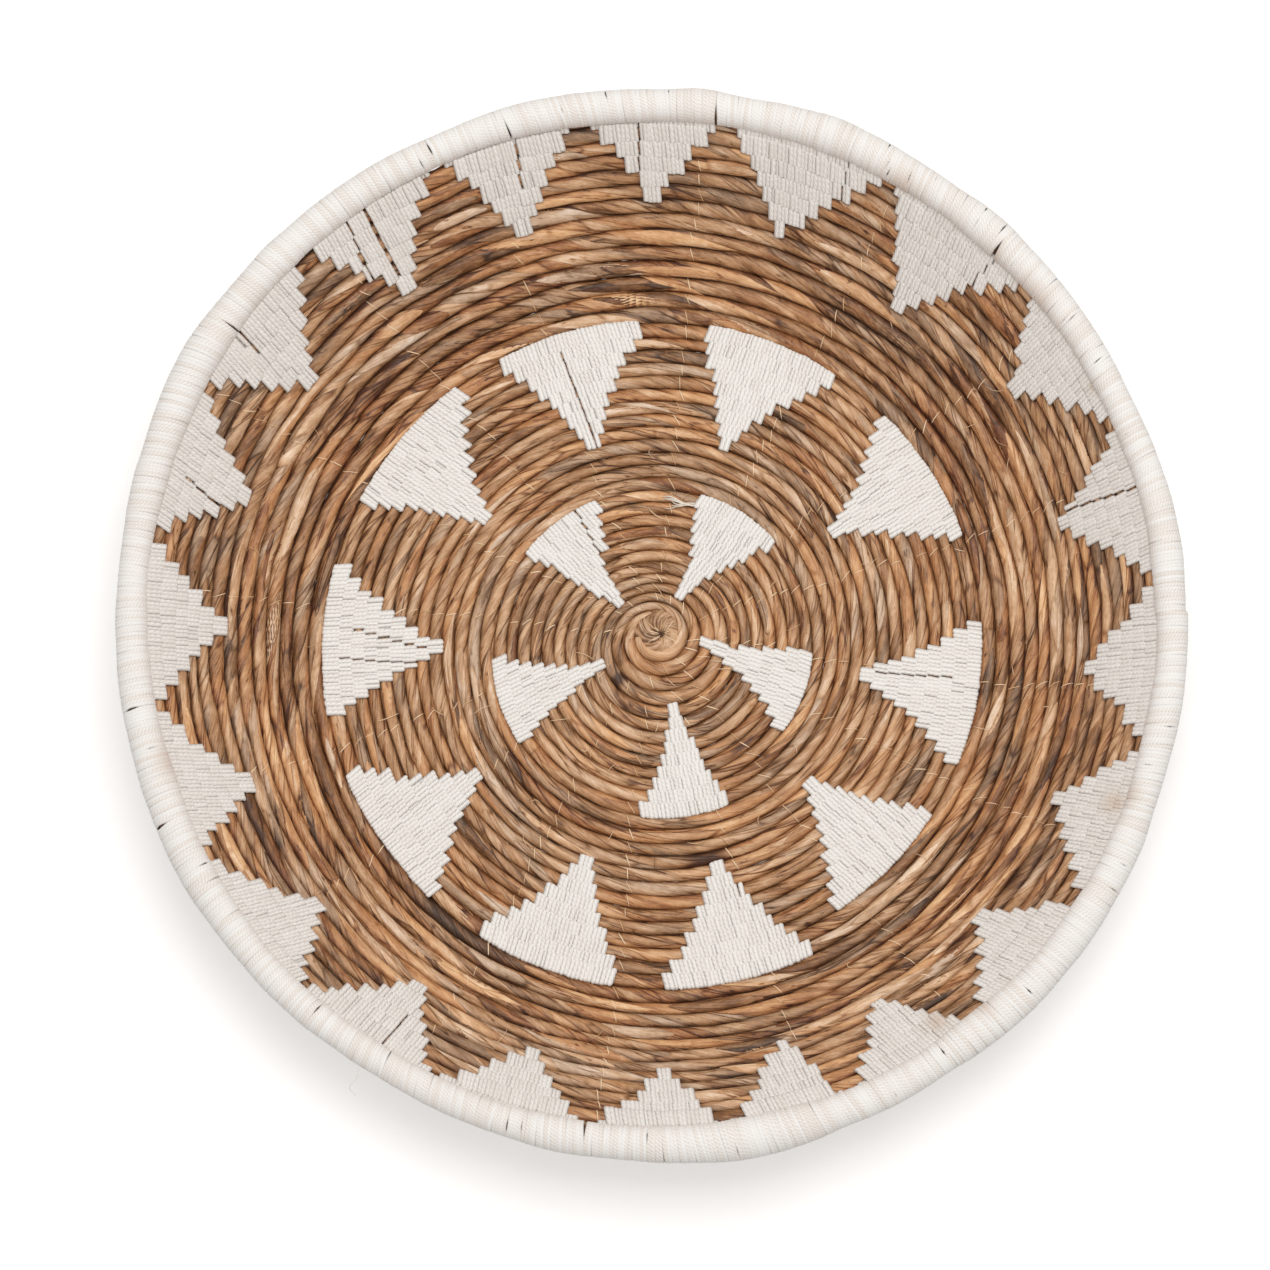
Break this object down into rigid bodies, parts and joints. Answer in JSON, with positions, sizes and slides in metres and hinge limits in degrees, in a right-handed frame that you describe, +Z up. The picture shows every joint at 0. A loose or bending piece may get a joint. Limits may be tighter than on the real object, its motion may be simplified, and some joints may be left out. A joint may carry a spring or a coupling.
{
  "type": "wall basket",
  "caption": "Round coiled wall basket: two twisted fibre ropes wound side by side into a shallow bowl, with white yarn triangles worked over its rows and a yarn-bound rim.",
  "frame": {"origin": "centre of the coil's back, where the flat back of the centre knot meets the wall", "axes": "+Z up as the basket hangs, -Y out of its open face, +Y into the wall, +X to the viewer's right"},
  "size_m": [0.4476, 0.0561, 0.4522],
  "materials": {
    "floor_rope": "matte twisted plant fibre",
    "wall_rope": "matte twisted plant fibre",
    "figure_yarn": "off-white cotton yarn",
    "rim_yarn": "off-white cotton yarn, tightly bound",
    "core_fibre": "bundled plant fibre"
  },
  "bodies": {
    "root": {"centre_knot": "floor_rope", "rope_start_curl": "floor_rope", "rope_inner_field": "floor_rope", "rope_plain_band": "floor_rope", "rope_middle_field": "floor_rope", "rope_turn_up": "wall_rope", "rope_wall": "wall_rope", "rope_tapered_end": "wall_rope", "second_rope_start_curl": "floor_rope", "second_rope_inner_field": "floor_rope", "second_rope_plain_band": "floor_rope", "second_rope_middle_field": "floor_rope", "second_rope_turn_up": "wall_rope", "second_rope_wall": "wall_rope", "second_rope_tapered_end": "wall_rope", "inner_figure_1": "figure_yarn", "inner_figure_2": "figure_yarn", "inner_figure_3": "figure_yarn", "inner_figure_4": "figure_yarn", "inner_figure_5": "figure_yarn", "middle_figure_1": "figure_yarn", "middle_figure_2": "figure_yarn", "middle_figure_3": "figure_yarn", "middle_figure_4": "figure_yarn", "middle_figure_5": "figure_yarn", "middle_figure_6": "figure_yarn", "middle_figure_7": "figure_yarn", "middle_figure_8": "figure_yarn", "middle_figure_9": "figure_yarn", "middle_figure_10": "figure_yarn", "outer_figure_1": "figure_yarn", "outer_figure_2": "figure_yarn", "outer_figure_3": "figure_yarn", "outer_figure_4": "figure_yarn", "outer_figure_5": "figure_yarn", "outer_figure_6": "figure_yarn", "outer_figure_7": "figure_yarn", "outer_figure_8": "figure_yarn", "outer_figure_9": "figure_yarn", "outer_figure_10": "figure_yarn", "outer_figure_11": "figure_yarn", "outer_figure_12": "figure_yarn", "outer_figure_13": "figure_yarn", "outer_figure_14": "figure_yarn", "outer_figure_15": "figure_yarn", "outer_figure_16": "figure_yarn", "outer_figure_17": "figure_yarn", "outer_figure_18": "figure_yarn", "outer_figure_19": "figure_yarn", "outer_figure_20": "figure_yarn", "rim_core": "core_fibre", "rim_wrap": "rim_yarn"}
  },
  "joints": []
}
